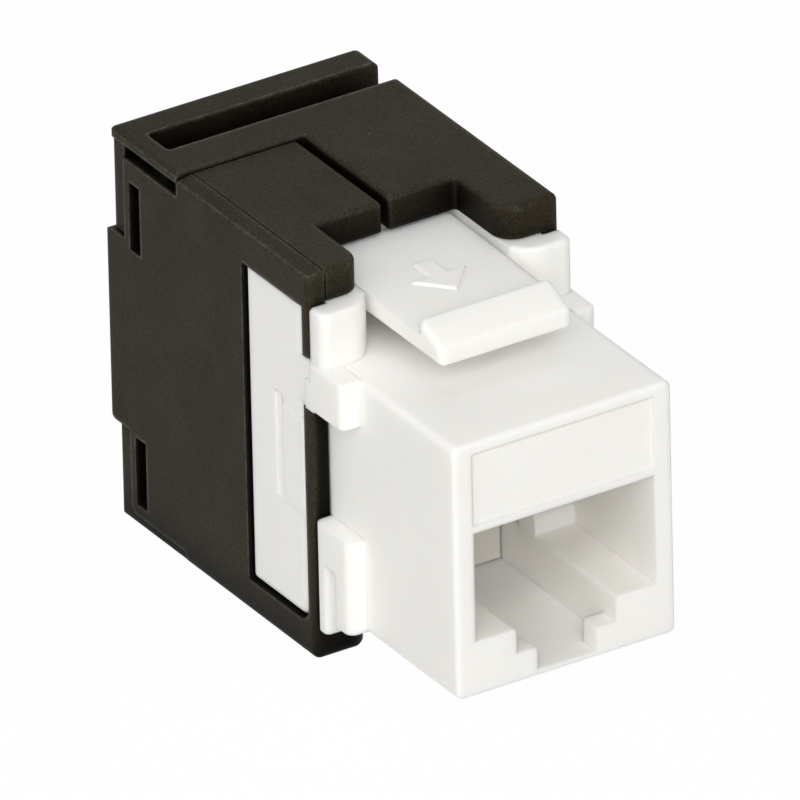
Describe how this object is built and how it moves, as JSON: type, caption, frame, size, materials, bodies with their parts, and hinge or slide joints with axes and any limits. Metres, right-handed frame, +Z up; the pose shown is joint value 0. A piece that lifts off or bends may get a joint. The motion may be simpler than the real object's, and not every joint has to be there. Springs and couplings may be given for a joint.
{
  "type": "keystone jack",
  "caption": "Snap-in network jack with a plug port in front, a sprung latch on top and two sliding rear half shells over wire terminals.",
  "frame": {"origin": "middle of the footprint, on the surface that the half shells rest on", "axes": "+Z up, +Y from the plug face to the rear wall, +X to the right seen from the plug face"},
  "size_m": [0.017, 0.0352, 0.0249],
  "materials": {
    "white_plastic": "satin moulded white",
    "black_plastic": "fine-grained satin black",
    "carrier_plastic": "plain moulded beige",
    "block_plastic": "plain moulded black",
    "contact_metal": "bright plated spring wire",
    "blade_metal": "tinned stamping",
    "board": "lacquered board"
  },
  "bodies": {
    "housing": {"front_housing": "white_plastic", "contact_carrier": "carrier_plastic", "contact_tails": "contact_metal", "circuit_board": "board", "terminal_block": "block_plastic", "terminal_blade_1": "blade_metal", "terminal_blade_2": "blade_metal", "terminal_blade_3": "blade_metal", "terminal_blade_4": "blade_metal", "terminal_blade_5": "blade_metal", "terminal_blade_6": "blade_metal", "terminal_blade_7": "blade_metal", "terminal_blade_8": "blade_metal"},
    "latch": {"latch_arm": "white_plastic"},
    "contact_springs": {"jack_contact_1": "contact_metal", "jack_contact_2": "contact_metal", "jack_contact_3": "contact_metal", "jack_contact_4": "contact_metal", "jack_contact_5": "contact_metal", "jack_contact_6": "contact_metal", "jack_contact_7": "contact_metal", "jack_contact_8": "contact_metal"},
    "left_half": {"left_shell": "black_plastic"},
    "right_half": {"right_shell": "black_plastic"}
  },
  "joints": [
    {"name": "latch_press", "type": "hinge", "parent": "housing", "child": "latch", "pos_m": [0, 0.00112, 0.02175], "axis": [1, 0, 0], "range_deg": [0, 7], "stiffness_Nm_per_rad": 1},
    {"name": "contact_lift", "type": "hinge", "parent": "housing", "child": "contact_springs", "pos_m": [0, -0.01328, 0.0155], "axis": [1, 0, 0], "range_deg": [0, 10], "stiffness_Nm_per_rad": 0.3},
    {"name": "left_half_slide", "type": "slide", "parent": "housing", "child": "left_half", "axis": [-1, 0, 0], "range_m": [0, 0.01]},
    {"name": "right_half_slide", "type": "slide", "parent": "housing", "child": "right_half", "axis": [1, 0, 0], "range_m": [0, 0.018]}
  ]
}
